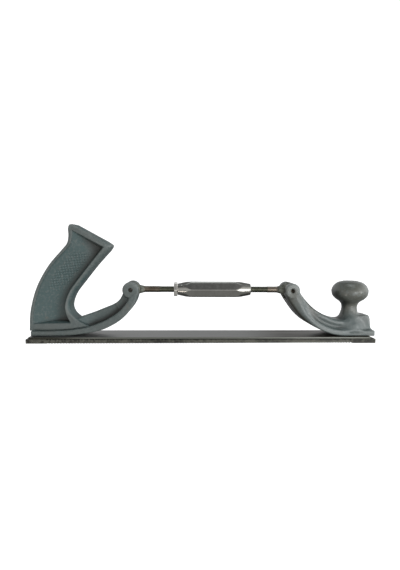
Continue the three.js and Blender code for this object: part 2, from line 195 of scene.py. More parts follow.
KNOB_UNDER = [
    (82, 49), (86.6, 41), (96.6, 27.8), (107.8, 18.6), (123, 11.2), (133, 8), (141, 6.8), (147, FOOT_Z),
]
KNOB_FLANGE_TOP = [(150, 12.2), (133, 13.8), (118, 20.2), (106, 30.4), (98, 41.5), (94.8, 50)]
KNOB_ARM_UNDER = [(90, 50), (94, 41), (103, 28.6), (116, 18.6), (132, 12), (150, 11)]
KNOB_ARM_TOP = [(150, 22.4), (137, 22.8), (124.4, 27.4), (113.4, 33.7), (104.3, 41.8), (97.4, 50)]
KNOB_FOOT_END_X = 175.8
KNOB_FOOT_CORNER = 1.5
LUG_HALF = 9
LUG = ([(146, 9), (146, 21), (156, 26.4)], [(166.6, 27.6), (171, 26.8), (172.6, 23.4)], [(174, 12), (174, 9)])
KNOB_PROFILE = [
    (0, 12), (15.4, 12.4), (14.6, 17), (12, 22), (9.4, 27.2), (8, 32), (7.8, 35.2), (8.4, 38), (10.4, 40.6),
    (14.2, 43.2), (17.1, 46.4), (18.2, 49.8), (18.2, 53), (16.2, 57.2), (12.2, 60.5), (6.8, 62.1), (0, 62.4),
]

# From a point on a casting to where its shelter from the light is judged: to the right, outwards and up.
LEE_SHIFT = (7.0, 2.5, 3.0)


# ---- Distance fields -------------------------------------------------------------------------------
class Field:
    """The points of a box at which a casting's distance field is kept."""

    def __init__(self, low, high, step):
        counts = [int((h - l) / step) + 1 for l, h in zip(low, high)]
        self.low = np.array(low, float)
        self.step = step
        axes = [l + step * np.arange(n, dtype=np.float32) for l, n in zip(low, counts)]
        self.x, self.y, self.z = np.meshgrid(*axes, indexing="ij", sparse=True)
        self.side = np.abs(self.y)


def flat_distance(points, x, z, closed=True):
    """The distance from each (x, z) to an outline, below 0 inside it when it is closed."""
    p = np.asarray(points, np.float32)
    q = np.roll(p, -1, axis=0)
    if not closed:
        p, q = p[:-1], q[:-1]
    x, z = np.broadcast_arrays(x, z)
    nearest = np.full(x.shape, 1e9, np.float32)
    inside = np.zeros(x.shape, bool)
    for (ax, az), (bx, bz) in zip(p, q):
        ex, ez = bx - ax, bz - az
        length = ex * ex + ez * ez
        if length < 1e-8:
            continue
        wx, wz = x - ax, z - az
        t = np.clip((wx * ex + wz * ez) / length, 0, 1)
        nearest = np.minimum(nearest, (wx - ex * t) ** 2 + (wz - ez * t) ** 2)
        if abs(ez) > 1e-8:
            inside ^= ((az > z) != (bz > z)) & (x < ex * (z - az) / ez + ax)
    distance = np.sqrt(nearest)
    return np.where(inside, -distance, distance) if closed else distance


def both(a, b, radius):
    """Where two fields meet, with the edge between them rounded."""
    u, v = a + radius, b + radius
    corner = np.sqrt(np.maximum(u, 0) ** 2 + np.maximum(v, 0) ** 2)
    return np.minimum(np.maximum(u, v), 0) + corner - radius


def join(a, b, radius):
    """Two fields together, with a fillet between them."""
    h = np.maximum(radius - np.abs(a - b), 0) / radius
    return np.minimum(a, b) - h * h * radius / 4


def cut(a, b, radius):
    """Field a without field b, with a rounded edge."""
    return -join(-a, b, radius)


def ramp(value, low, high):
    t = np.clip((value - low) / (high - low), 0, 1)
    return t * t * (3 - 2 * t)


def rod_y(f, x, radius):
    return np.sqrt((f.x - x) ** 2 + (f.z - LINK_Z) ** 2) - radius


def rod_z(f, x, radius):
    return np.sqrt((f.x - x) ** 2 + f.y**2) - radius


def rod_x(f, radius):
    return np.sqrt(f.y**2 + (f.z - LINK_Z) ** 2) - radius


def turned(f, x, profile):
    """A solid of revolution about the vertical line at x."""
    reach = np.sqrt((f.x - x) ** 2 + f.y**2)
    radii = np.arange(0, reach.max() + f.step, f.step / 2, dtype=np.float32)
    half = spline(profile[1:-1])
    shape = np.vstack([half, half[::-1] * (-1, 1)])
    table = flat_distance(shape, radii[:, None], f.z[0, 0][None, :])
    index = reach[:, :, 0] / (f.step / 2)
    below = np.minimum(index.astype(int), len(radii) - 2)
    share = (index - below)[..., None]
    return table[below] * (1 - share) + table[below + 1] * share


def clevis_slot(f, pin_x, side, half):
    """The slot between a clevis's ears, open upwards and towards the turnbuckle."""
    mouth = np.maximum(LINK_Z - SLOT_RADIUS - f.z, -side * (f.x - pin_x))
    room = np.minimum(rod_y(f, pin_x, SLOT_RADIUS), mouth)
    return both(room, f.side - half, 0.6)


def under_holes(f, shape, side):
    screw = np.maximum(rod_z(f, side * SCREW_X, SCREW_HOLE_RADIUS), f.z - SCREW_HOLE_TOP)
    rivet = np.maximum(rod_z(f, side * RIVET_X, RIVET_HOLE_RADIUS), f.z - RIVET_HOLE_TOP)
    return cut(cut(shape, screw, 0.3), rivet, 0.3)


def add_boss(f, shape, pin_x, radius, half, fillet):
    boss = both(rod_y(f, pin_x, radius), f.side - half, 1.1)
    return join(shape, boss, fillet)


def grip_shape(f):
    """The pistol grip, sunk on both flanks, with a knurled floor."""
    grip = flat_distance(outline(GRIP_BACK, GRIP_NOSE, GRIP_FRONT, GRIP_FOOT), f.x, f.z)
    recess = flat_distance(outline(RECESS_BACK, RECESS_FRONT), f.x, f.z)
    from_back = flat_distance(spline(RECESS_BACK), f.x, f.z, closed=False)

    # The recess falls steeply from its front, its end and its foot, and slopes down gently from its back.
    steep = ramp(recess, -2.6, 0.4)
    gentle = (1 - ramp(from_back, -6, 26)) * 0.92
    hollow = np.maximum(steep, np.where(recess < 0, gentle, 1))
    grip_half = WEB_HALF + (BODY_HALF - WEB_HALF) * hollow

    # Crossed grooves cover the middle of the recess's floor.
    kx, kz = KNURL_WAY
    along = (f.x * kx + f.z * kz) * (2 * math.pi / KNURL_PITCH)
    across = (f.x * kz - f.z * kx) * (2 * math.pi / KNURL_PITCH)
    middle = ramp(-recess, 4, 8) * ramp(f.z, 44, 58) * (1 - ramp(f.z, 86, 94))
    grip_half = grip_half + KNURL_DEPTH * middle * np.sin(along) * np.sin(across)

    # The end face and the front are rounded more than the back.
    ex, ez = END_FACE_WAY
    end_face = ramp(f.x * ex + f.z * ez, 36, 44)
    front = ramp(from_back, 14, 22) * ramp(f.z, 25, 36)
    return both(grip, f.side - grip_half, 1.6 + 3.6 * np.maximum(end_face, front))


def handle_web(f):
    """The web inside the handle's arm, with a low cross step and a thick root under the grip."""
    web_foot = [(-87, 26), (-103, 17), (-131, 10)]
    web = flat_distance(outline(ARM_TOP, [(-72, 48), (-75, 42)], web_foot), f.x, f.z)
    step = 0.7 * ramp(f.x + 0.6 * f.z, -68, -66.4)
    web_half = WEB_HALF + step + 5 * (1 - ramp(f.x, -127, -108))
    return both(web, f.side - web_half, 1.2)


def add_handle_flange(f, shape):
    """The flange that sweeps from the heel up to the clevis, parted from the grip by a fine line."""
    heel = [(HANDLE_HEEL_X, 11.2), (HANDLE_HEEL_X, FOOT_Z)]
    flange = flat_distance(outline(HANDLE_UNDER, HANDLE_FLANGE_TOP, heel), f.x, f.z)
    parting = both(both(flange - 0.9, 9.9 - f.side, 0.3), -169 - f.x, 1)
    shape = cut(shape, parting, 0.4)
    return join(shape, both(flange, f.side - FLANGE_HALF, 1.2), 0.5)


def handle_field():
    f = Field((-175, -15.5, 5), (-62, 15.5, 120), CASTING_STEP)
    shape = add_handle_flange(f, join(grip_shape(f), handle_web(f), 2))
    shape = add_boss(f, shape, HANDLE_PIN_X, HANDLE_EAR_RADIUS, HANDLE_EAR_HALF, 1.6)
    shape = cut(shape, clevis_slot(f, HANDLE_PIN_X, 1, HANDLE_SLOT_HALF), 0.5)
    shape = cut(shape, rod_y(f, HANDLE_PIN_X, PIN_HOLE_RADIUS), 0.4)
    return f, under_holes(f, shape, -1)


def knob_flange(f):
    """The flange from the clevis down to the foot, with a squared foot end."""
    foot_end = [(KNOB_FOOT_END_X, FOOT_Z), (KNOB_FOOT_END_X, 12.2)]
    flange = flat_distance(outline(KNOB_UNDER, foot_end, KNOB_FLANGE_TOP), f.x, f.z)
    rounding = 1.4 + 4.2 * (1 - ramp(f.x, 100, 122))
    shape = both(flange, f.side - KNOB_FLANGE_HALF, rounding)
    corner = both(f.x - KNOB_FOOT_END_X, f.side - KNOB_FLANGE_HALF, KNOB_FOOT_CORNER)
    return both(shape, corner, 1.4)


def knob_arm(f):
    """The arm, wider beside its pivot, with a shallow valley along each flank."""
    arm = flat_distance(outline(KNOB_ARM_UNDER, KNOB_ARM_TOP), f.x, f.z)
    from_top = flat_distance(spline(KNOB_ARM_TOP), f.x, f.z, closed=False)
    valley = 1.3 * ramp(from_top, 3, 7.5) * ramp(f.x, 106, 122)
    widened = (KNOB_EAR_HALF - KNOB_BODY_HALF) * (1 - ramp(f.x, 97, 120))
    arm_half = KNOB_BODY_HALF + widened - valley
    return both(arm, f.side - arm_half, 2.6)


def under_grooves(f):
    """Two narrow grooves down the underside of the knob's arm."""
    profile = outline([(75.3, 47), (90, 47)], [(93.4, 40), (102.4, 27.6), (112, 17.6)], [(104, 11)])
    return both(flat_distance(profile, f.x, f.z), np.abs(f.side - 6) - 1.5, 0.6)


def knob_field():
    f = Field((79, -20, 5), (178, 20, 65), CASTING_STEP)
    shape = join(knob_flange(f), knob_arm(f), 4.5)
    shape = join(shape, turned(f, KNOB_X, KNOB_PROFILE), 4)
    lug = flat_distance(outline(*LUG), f.x, f.z)
    shape = join(shape, both(lug, f.side - LUG_HALF, 1.8), 3)
    shape = add_boss(f, shape, KNOB_PIN_X, KNOB_EAR_RADIUS, KNOB_EAR_HALF, 2)
    shape = cut(shape, clevis_slot(f, KNOB_PIN_X, -1, KNOB_SLOT_HALF), 0.6)
    shape = cut(shape, under_grooves(f), 0.6)
    shape = cut(shape, rod_y(f, KNOB_PIN_X, PIN_HOLE_RADIUS), 0.4)
    return f, under_holes(f, shape, 1)


def thread(rod, turn, along, start, end):
    """A rod's field with a helical thread cut into it between two places along it."""
    phase = np.mod(along / THREAD_PITCH - turn / (2 * math.pi), 1)
    vee = THREAD_DEPTH * (1 - np.abs(2 * phase - 1))
    begun = ramp(along, start - THREAD_RUNOUT, start + THREAD_RUNOUT)
    ended = ramp(along, end - THREAD_RUNOUT, end + THREAD_RUNOUT)
    return rod + vee * (begun * (1 - ended))


def rod_field(pin_x, side, end_x, thread_start):
    """A rod with a forged eye, threaded from part way along.

    `side` is the way from the pin to the turnbuckle.
    """
    low, high = sorted((pin_x - side * 9, end_x + side * 1))
    f = Field((low, -8.5, LINK_Z - 8.8), (high, 8.5, LINK_Z + 8.8), ROD_STEP)
    along = side * (f.x - pin_x)
    eye = both(rod_y(f, pin_x, EYE_RADIUS), f.side - EYE_HALF, 1.4)
    neck = both(rod_x(f, 5.2 - 0.24 * np.clip(along, 0, 14)), np.abs(along - 5) - 6, 1)
    length = side * (end_x - pin_x)
    turn = np.arctan2(f.z - LINK_Z, f.y)
    shank = thread(rod_x(f, ROD_RADIUS), turn, along, thread_start, length)
    shank = both(shank, np.maximum(4 - along, along - length), 0.6)
    shape = join(join(eye, neck, 3), shank, 4)
    return f, cut(shape, rod_y(f, pin_x, EYE_HOLE_RADIUS), 0.5)


def hexagon(f, across_flats, turn=0.0):
    """A hexagonal bar along the link's axis, with two level flats when it has no turn."""
    shape = None
    for degrees in (30, 90, 150):
        angle = turn + math.radians(degrees)
        flats = np.abs(f.y * math.cos(angle) + (f.z - LINK_Z) * math.sin(angle)) - across_flats / 2
        shape = flats if shape is None else both(shape, flats, 0.35)
    return shape


def turnbuckle_field():
    f = Field((BODY_START_X - 1, -10, LINK_Z - 9.4), (BODY_END_X + 1, 10, LINK_Z + 9.4), SLEEVE_STEP)
    from_end = np.minimum(f.x - BODY_START_X, BODY_END_X - f.x)
    from_taper = np.minimum(f.x - BODY_START_X, (BODY_END_X - f.x) * TAPER_LENGTH / FAR_TAPER_LENGTH)
    corner = HEX_ACROSS_FLATS / math.sqrt(3) + 0.1
    slope = (corner - TAPER_END_RADIUS) / TAPER_LENGTH
    taper = (rod_x(f, TAPER_END_RADIUS) - slope * from_taper) / math.sqrt(1 + slope**2)
    shape = both(hexagon(f, HEX_ACROSS_FLATS), taper, 0.25)
    shape = both(shape, -from_end, 0.5)
    mouth = np.minimum(rod_x(f, BODY_BORE_RADIUS), rod_x(f, BODY_BORE_RADIUS + 0.9) + from_end)
    return f, cut(shape, mouth, 0.2)


def nut_field():
    end = BODY_START_X - 0.15
    start = end - NUT_THICKNESS
    f = Field((start - 1, -8.6, LINK_Z - 8.6), (end + 1, 8.6, LINK_Z + 8.6), NUT_STEP)
    corner = NUT_ACROSS_FLATS / math.sqrt(3)
    chamfer = (rod_x(f, corner - 0.9) - 1.6 * (f.x - start)) / 1.89
    shape = both(hexagon(f, NUT_ACROSS_FLATS, NUT_TURN), chamfer, 0.2)
    shape = both(shape, np.maximum(start - f.x, f.x - end), 0.25)
    mouth = np.minimum(rod_x(f, BODY_BORE_RADIUS), rod_x(f, BODY_BORE_RADIUS + 0.8) + (f.x - start))
    return f, cut(shape, mouth, 0.2)


def roll_pin_field(pin_x, ear_half):
    """A pin rolled from spring strip, with an open seam along its top and chamfered ends."""
    half = ear_half - PIN_RECESS
    f = Field((pin_x - 2.6, -half - 1, LINK_Z - 2.6), (pin_x + 2.6, half + 1, LINK_Z + 2.6), PIN_STEP)
    from_end = half - f.side
    radius = PIN_RADIUS - 0.5 * (1 - ramp(from_end, -0.6, 1.4))
    shape = both(rod_y(f, pin_x, radius), -from_end, 0.15)
    shape = cut(shape, rod_y(f, pin_x, PIN_BORE), 0.1)
    seam = np.maximum(np.abs(f.x - pin_x) - 0.4, LINK_Z - f.z)
    return f, cut(shape, seam, 0.1)


def screw_field(x):
    """A slotted countersunk screw standing on its head."""
    f = Field((x - 5.4, -5.4, -0.4), (x + 5.4, 5.4, 13), SCREW_STEP)
    turn = np.arctan2(f.y, f.x - x)
    threaded = thread(rod_z(f, x, SCREW_RADIUS), turn, f.z, 4, SCREW_TIP_Z)
    shank = both(threaded, np.maximum(2 - f.z, f.z - SCREW_TIP_Z), 0.5)
    cone = (rod_z(f, x, SCREW_HEAD_RADIUS) + 1.2 * (f.z - 0.85)) / 1.56
    head = both(rod_z(f, x, SCREW_HEAD_RADIUS), cone, 0.2)
    head = both(head, np.maximum(SCREW_HEAD_Z - f.z, f.z - 3), 0.2)
    slot = both(np.abs(f.x - x) - 0.5, f.z - 1.5, 0.1)
    return f, cut(join(shank, head, 0.5), slot, 0.15)


def box_blur(a, reach):
    """A running mean over 2 * reach + 1 points along every axis."""
    for axis in range(3):
        padded = np.pad(a, [(reach + 1, reach) if i == axis else (0, 0) for i in range(3)], mode="edge")
        total = np.cumsum(padded, axis=axis, dtype=np.float64)
        n = 2 * reach + 1
        ahead = np.take(total, np.arange(n, total.shape[axis]), axis=axis)
        behind = np.take(total, np.arange(0, total.shape[axis] - n), axis=axis)
        a = ((ahead - behind) / n).astype(np.float32)
    return a


def sample(f, a, points):
    """The values of an array over a field's box, read between its points."""
    index = np.clip((points - f.low) / f.step, 0, np.array(a.shape) - 1.001)
    low = index.astype(int)
    share = index - low
    total = 0
    for corner in np.ndindex(2, 2, 2):
        weight = np.prod(np.where(corner, share, 1 - share), axis=1)
        total = total + weight * a[tuple((low + corner).T)]
    return total


def surface_piece(name, f, shape, flatness=0.02):
    """The closed surface of a field, as a smooth mesh."""
    band = 4 * f.step
    grid = openvdb.FloatGrid(band)
    grid.copyFromArray(np.clip(shape, -band, band).astype(np.float32))
    points, triangles, quads = grid.convertToPolygons(isovalue=0.0, adaptivity=flatness)
    faces = [tuple(map(int, t)) for t in triangles] + [tuple(map(int, q)) for q in quads]
    return add_mesh(name, points * f.step + f.low, faces, smooth=True)


def cast_piece(name, f, shape):
    """A casting, which also keeps how enclosed and how sheltered from the light each of its points is, for
    the shade painted into its enamel.
    """
    piece = surface_piece(name, f, shape)
    points = np.array([v.co for v in piece.data.vertices]) / MM
    solid = (shape < 0).astype(np.float32)
    near, middle, far = (box_blur(box_blur(solid, reach), reach) for reach in (4, 9, 13))
    ones = np.ones(len(points))
    lee = points + np.array(LEE_SHIFT) * np.stack([ones, np.sign(points[:, 1]), ones], axis=1)
    # The shade to be painted: how solid each point's surroundings are, and how much of the casting stands
    # between it and the light.
    around = 0.35 * sample(f, near, points) + 0.25 * sample(f, far, points)
    shade_amount = around + 0.4 * (sample(f, middle, lee) + 0.25)
    attribute = piece.data.attributes.new("shade_amount", "FLOAT", "POINT")
    attribute.data.foreach_set("value", shade_amount.astype(np.float32))
    return piece


# ---- Meshes ----------------------------------------------------------------------------------------
def add_mesh(name, points, faces, smooth=False):
    mesh = bpy.data.meshes.new(name)
    mesh.from_pydata((np.asarray(points) * MM).tolist(), [], faces)
    mesh.update()
    mesh.validate()
    mesh.shade_smooth() if smooth else mesh.shade_flat()
    piece = bpy.data.objects.new(name, mesh)
    bpy.context.scene.collection.objects.link(piece)
    return piece


def fit(piece, material, body, node):
    """Gives a piece its material, parents it to its body if it has one, and hides the CAD nodes that it
    stands for.
    """
    piece.data.materials.append(material)
    if body:
        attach(piece, body)
    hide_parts(*([node] if isinstance(node, str) else node))


def make_castings():
    handle = cast_piece("handle_cast", *handle_field())
    fit(handle, HANDLE_ENAMEL, "handle_end", "handle_casting")
    knob = cast_piece("knob_cast", *knob_field())
    fit(knob, KNOB_ENAMEL, "knob_end", "knob_casting")


def make_link():
    handle_rod_shape = rod_field(HANDLE_PIN_X, 1, BODY_START_X + ROD_REACH, HANDLE_THREAD_START)
    handle_rod = surface_piece("handle_rod_forging", *handle_rod_shape)
    fit(handle_rod, HANDLE_ROD, "handle_rod", "handle_eye_rod")
    knob_rod_shape = rod_field(KNOB_PIN_X, -1, BODY_END_X - ROD_REACH, KNOB_THREAD_START)
    knob_rod = surface_piece("knob_rod_forging", *knob_rod_shape)
    fit(knob_rod, KNOB_ROD, "knob_rod", "knob_eye_rod")
    sleeve = surface_piece("turnbuckle_sleeve", *turnbuckle_field())
    fit(sleeve, PLATED, "turnbuckle", "turnbuckle_body")
    nut = surface_piece("lock_nut_chamfered", *nut_field())
    fit(nut, NUT_PLATED, "nut_carriage", "lock_nut")


def make_fasteners():
    """A roll pin and a file screw at each end."""
    ends = (("handle", HANDLE_PIN_X, HANDLE_EAR_HALF, -1), ("knob", KNOB_PIN_X, KNOB_EAR_HALF, 1))
    for end, pin_x, half, side in ends:
        body = end + "_end"
        pin = surface_piece(end + "_spring_pin", *roll_pin_field(pin_x, half))
        fit(pin, DARK_STEEL, body, end + "_roll_pin")
        screw = surface_piece(end + "_slotted_screw", *screw_field(side * SCREW_X))
        fit(screw, DARK_STEEL, body, end + "_file_screw")


# ---- Strip and file --------------------------------------------------------------------------------
def tooth_bulge(y):
    return TOOTH_BULGE * (1 - (y / FILE_HALF_WIDTH) ** 2)


def grid_solid(name, columns, smooth):
    """A closed mesh from one closed ring of points per station, with a face over each end."""
    stations, ring = columns.shape[:2]
    faces = [
        (s * ring + i, s * ring + (i + 1) % ring, (s + 1) * ring + (i + 1) % ring, (s + 1) * ring + i)
        for s in range(stations - 1)
        for i in range(ring)
    ]
    last = (stations - 1) * ring
    faces += [tuple(range(ring))[::-1], tuple(last + i for i in range(ring))]
    return add_mesh(name, columns.reshape(-1, 3), faces, smooth)


def blade_cuts(start, end):
    """Where the pieces of the strip or the file meet: half way between neighbouring hinges."""
    middles = [FIRST_HINGE_X + HINGE_SPACING * (i + 0.5) for i in range(len(BLADE_BODIES) - 2)]
    return [start, *middles, end]


def bend(piece):
    """Bakes a piece's placement into its mesh."""
    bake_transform(piece)


def nodes_for(kind, index):
    """The CAD segments that piece `index` stands for."""
    is_last = index == len(BLADE_BODIES) - 2
    numbers = (index + 1, index + 2) if is_last else (index + 1,)
    return [f"{kind}_segment_{number}" for number in numbers]


def file_stations():
    """Positions along the file with the depth of the cut there, from end to end."""
    toothed = FILE_HALF_LENGTH - PAD_LENGTH
    stations = [(x, 0.0) for x in np.linspace(-FILE_HALF_LENGTH, -toothed - 0.6, 8)]
    count = round(2 * toothed / TOOTH_PITCH)
    pitch = 2 * toothed / count
    for i in range(count):
        stations += [(-toothed + (i + share) * pitch, depth * TOOTH_DEPTH) for share, depth in TOOTH_PROFILE]
    stations += [(x, 0.0) for x in np.linspace(toothed, FILE_HALF_LENGTH, 9)]
    return np.array(stations)


def file_ring(x, depth):
    """The closed outline of the file across one arc of its teeth."""
    across = np.linspace(-FILE_HALF_WIDTH, FILE_HALF_WIDTH, POINTS_ACROSS_FILE)
    toothed = FILE_HALF_LENGTH - PAD_LENGTH
    curved = 1 - float(ramp(np.float64(abs(x)), toothed - 6, FILE_HALF_LENGTH - 1))
    arc = x + tooth_bulge(across) * curved - TOOTH_BULGE * 0.5 * curved
    bottom = np.stack([arc, across, np.full(POINTS_ACROSS_FILE, depth)], axis=1)
    top = np.stack([arc, across, np.full(POINTS_ACROSS_FILE, FILE_THICKNESS - 0.9 * depth)], axis=1)
    return np.vstack([bottom, top[::-1]])


def screw_seat(piece, x):
    """Cuts the countersunk hole of a file screw through an end pad."""
    mouth = SCREW_HEAD_RADIUS + SCREW_SEAT_CLEARANCE
    profile = ((mouth, -1), (mouth, 0.8), (SCREW_HOLE_RADIUS, 2.85), (SCREW_HOLE_RADIUS, 8))
    turns = np.linspace(0, 2 * math.pi, 40, endpoint=False)
    rings = np.array([[(x + r * math.cos(a), r * math.sin(a), z) for a in turns] for r, z in profile])
    cutter = grid_solid("cutter", rings, smooth=False)
    modifier = piece.modifiers.new("seat", "BOOLEAN")
    modifier.object = cutter
    modifier.operation = "DIFFERENCE"
    modifier.solver = "EXACT"
    bpy.context.view_layer.update()
    cut_mesh = bpy.data.meshes.new_from_object(piece.evaluated_get(bpy.context.evaluated_depsgraph_get()))
    piece.modifiers.clear()
    piece.data = cut_mesh
    bpy.data.objects.remove(cutter)


def gullet_near(stations, x):
    """The station at the bottom of the tooth gap nearest to x."""
    too_shallow = stations[:, 1] < TOOTH_DEPTH * 0.99
    return int(np.argmin(np.abs(stations[:, 0] - x) + too_shallow * 9))


def make_file():
    stations = file_stations()
    cuts = blade_cuts(-FILE_HALF_LENGTH - 1, FILE_HALF_LENGTH + 1)
    edges = [0, *(gullet_near(stations, x) for x in cuts[1:-1]), len(stations) - 1]
    for index, (first, last) in enumerate(zip(edges, edges[1:])):
        rings = np.array([file_ring(x, depth) for x, depth in stations[first : last + 1]])
        piece = grid_solid(f"file_blade_{index + 1}", rings, smooth=False)
        if index in (0, len(edges) - 2):
            screw_seat(piece, -SCREW_X if index == 0 else SCREW_X)
        bend(piece)
        fit(piece, TOOTHED, None, nodes_for("file", index))


def strip_ring(x, inset):
    """The strip's round-cornered outline at x, made smaller all round by the inset."""
    half, low, high, r = FILE_HALF_WIDTH - inset, STRIP_BOTTOM + inset, STRIP_TOP - inset, STRIP_CORNER
    corners = ((-half, low, 180), (half, low, 270), (half, high, 0), (-half, high, 90))
    ring = []
    for cy, cz, angle in corners:
        for a in (0, 30, 60, 90):
            turn = math.radians(angle + a)
            sy, sz = (1 if cy > 0 else -1), (1 if cz == high else -1)
            ring.append((x, cy - sy * r + r * math.cos(turn), cz - sz * r + r * math.sin(turn)))
    return ring


def make_strip():
    """Six lengths of strip, the first and last with an eased end."""
    cuts = blade_cuts(STRIP_START_X, STRIP_END_X)
    for index, (start, end) in enumerate(zip(cuts, cuts[1:])):
        xs = list(np.linspace(start, end, STRIP_STATIONS))
        insets = [0.0] * len(xs)
        if index == 0:
            xs, insets = [start, start + 0.1, *xs[1:]], [0.3, 0.05, *insets[1:]]
        if index == len(cuts) - 2:
            xs, insets = [*xs[:-1], end - 0.1, end], [*insets[:-1], 0.05, 0.3]
        rings = np.array([strip_ring(x, inset) for x, inset in zip(xs, insets)])
        piece = grid_solid(f"spring_strip_{index + 1}", rings, smooth=False)
        bend(piece)
        fit(piece, SPRING, None, nodes_for("strip", index))


# ---- Materials -------------------------------------------------------------------------------------
class Nodes:
    """Short words for building a material."""

    def __init__(self, name):
        self.material = bpy.data.materials.new(name)
        self.material.use_nodes = True
        self.tree = self.material.node_tree
        self.shader = self.tree.nodes["Principled BSDF"]
        self.place = self.add("ShaderNodeTexCoord").outputs["Object"]

    def add(self, kind, **settings):
        node = self.tree.nodes.new(kind)
        for key, value in settings.items():
            setattr(node, key, value)
        return node

    def link(self, value, socket):
        if isinstance(value, bpy.types.NodeSocket):
            self.tree.links.new(value, socket)
        else:
            socket.default_value = value

    def split_place(self):
        parts = self.add("ShaderNodeSeparateXYZ")
        self.link(self.place, parts.inputs[0])
        return parts.outputs

    def math(self, operation, a, b=0.0):
        node = self.add("ShaderNodeMath", operation=operation)
        self.link(a, node.inputs[0])
        self.link(b, node.inputs[1])
        return node.outputs[0]

    def noise(self, scale, detail=3, roughness=0.55, stretch=None):
        node = self.add("ShaderNodeTexNoise")
        place = self.place
        if stretch:
            mapping = self.add("ShaderNodeMapping")
            mapping.inputs["Scale"].default_value = stretch
            self.link(place, mapping.inputs["Vector"])
            place = mapping.outputs[0]
        self.link(place, node.inputs["Vector"])
        node.inputs["Scale"].default_value = scale
        node.inputs["Detail"].default_value = detail
        node.inputs["Roughness"].default_value = roughness
        return node.outputs["Fac"]

    def range(self, value, low, high, to_low=0.0, to_high=1.0):
        node = self.add("ShaderNodeMapRange", interpolation_type="SMOOTHSTEP")
        self.link(value, node.inputs["Value"])
        for key, number in zip(("From Min", "From Max", "To Min", "To Max"), (low, high, to_low, to_high)):
            self.link(number, node.inputs[key])
        return node.outputs[0]

    def mix(self, factor, a, b):
        node = self.add("ShaderNodeMix", data_type="RGBA")
        self.link(factor, node.inputs["Factor"])
        for value, socket in ((a, node.inputs[6]), (b, node.inputs[7])):
            self.link(value if isinstance(value, bpy.types.NodeSocket) else (*value, 1), socket)
        return node.outputs[2]

    def bump(self, height, strength, distance):
        node = self.add("ShaderNodeBump")
        self.link(height, node.inputs["Height"])
        node.inputs["Strength"].default_value = strength
        node.inputs["Distance"].default_value = distance
        self.link(node.outputs[0], self.shader.inputs["Normal"])
        self.link(node.outputs[0], self.shader.inputs["Coat Normal"])

    def set(self, **values):
        for key, value in values.items():
            socket = self.shader.inputs[key.replace("_", " ")]
            if isinstance(value, tuple) and len(value) == 3:
                value = (*value, 1)
            self.link(value, socket)


ENAMEL_DEEP = (0.078, 0.099, 0.097)
ENAMEL_PALE = (0.092, 0.107, 0.103)
ENAMEL_SPECKLE = (0.122, 0.142, 0.138)
ENAMEL_SHADE = (0.018, 0.021, 0.018)
# Lighter edges: rubbed wear, and a painted highlight where edges face the light.
ENAMEL_WORN_AND_LIT = (0.15, 0.17, 0.165)
HANDLE_TINT = (0.050, 0.086, 0.086)
KNOB_TINT = (0.088, 0.090, 0.074)
BROWN_STAIN = (0.105, 0.098, 0.082)
# Painted shade under the knob's arm and inside its clevis.
UNDERSIDE_SHADE = (0.040, 0.041, 0.032)


def enamel_material(name, tint, tint_color, underside_shade, roughness, coat):
    """Hammered grey enamel, with painted shade in corners, recesses and places sheltered from the light, and
    lighter edges: rubbed wear, and a painted highlight where edges face the light.

    tint(n) is where it takes a second colour, and the function after it, if it isn't None, is where a shade
    is painted.
    """
    n = Nodes(name)
    shade_amount = n.add("ShaderNodeAttribute", attribute_name="shade_amount").outputs["Fac"]
    broad = n.noise(38, 3)
    fine = n.noise(420, 4, 0.6)
    grain = n.noise(1500, 2)
    gray = n.mix(n.range(broad, 0.38, 0.64), ENAMEL_DEEP, ENAMEL_PALE)
    tinted = n.mix(n.math("MULTIPLY", tint(n), n.range(broad, 0.30, 0.60, 0.7, 1.0)), gray, tint_color)
    speckled = n.mix(n.range(fine, 0.46, 0.68, 0.0, 0.6), tinted, ENAMEL_SPECKLE)
    brown = n.mix(n.range(n.noise(95, 4), 0.60, 0.78, 0.0, 0.45), speckled, BROWN_STAIN)
    # Painted shade, under the knob's arm and inside its clevis.
    under_shaded = n.mix(underside_shade(n), brown, UNDERSIDE_SHADE) if underside_shade else brown
    # Painted shade: darker in corners and recesses, and where the casting is sheltered from the light.
    shaded = n.mix(n.range(shade_amount, 0.50, 0.74), under_shaded, ENAMEL_SHADE)
    # Lighter edges: partly rubbed wear, and partly a painted highlight, as the mask is strongest where edges
    # face the light.
    exposed = n.math("SUBTRACT", n.math("MULTIPLY", fine, 0.1), shade_amount)
    worn_and_lit = n.mix(n.range(exposed, -0.30, -0.18), shaded, ENAMEL_WORN_AND_LIT)
    low, high = roughness
    n.set(Base_Color=worn_and_lit, Roughness=n.range(fine, 0.3, 0.7, low, high), Metallic=0.12)
    n.set(Coat_Weight=coat, Coat_Roughness=0.14)
    n.bump(n.math("ADD", n.math("MULTIPLY", fine, 0.7), n.math("MULTIPLY", grain, 0.3)), 0.35, 0.0006)
    return n.material


def recess_tint(n):
    """The sunken flanks of the grip."""
    parts = n.split_place()
    sunken = n.range(n.math("ABSOLUTE", parts["Y"]), 0.0096, 0.0108, 1.0, 0.0)
    return n.math("MULTIPLY", sunken, n.range(parts["X"], -0.122, -0.110, 1.0, 0.2))


def knob_tint(n):
    """The knob with its pedestal, and the clevis."""
    parts = n.split_place()
    head = n.math("MULTIPLY", n.range(parts["X"], 0.130, 0.140), n.range(parts["Z"], 0.022, 0.036))
    clevis = n.range(parts["X"], 0.090, 0.104, 0.7, 0.0)
    return n.math("MAXIMUM", head, clevis)


def knob_underside_shade(n):
    """The arm's underside and the inside of the clevis, darkened by a painted shade."""
    parts = n.split_place()
    inner = n.range(n.math("ABSOLUTE", parts["Y"]), 0.0132, 0.0153, 1.0, 0.0)
    return n.math("MULTIPLY", inner, n.range(parts["X"], 0.108, 0.126, 0.85, 0.0))


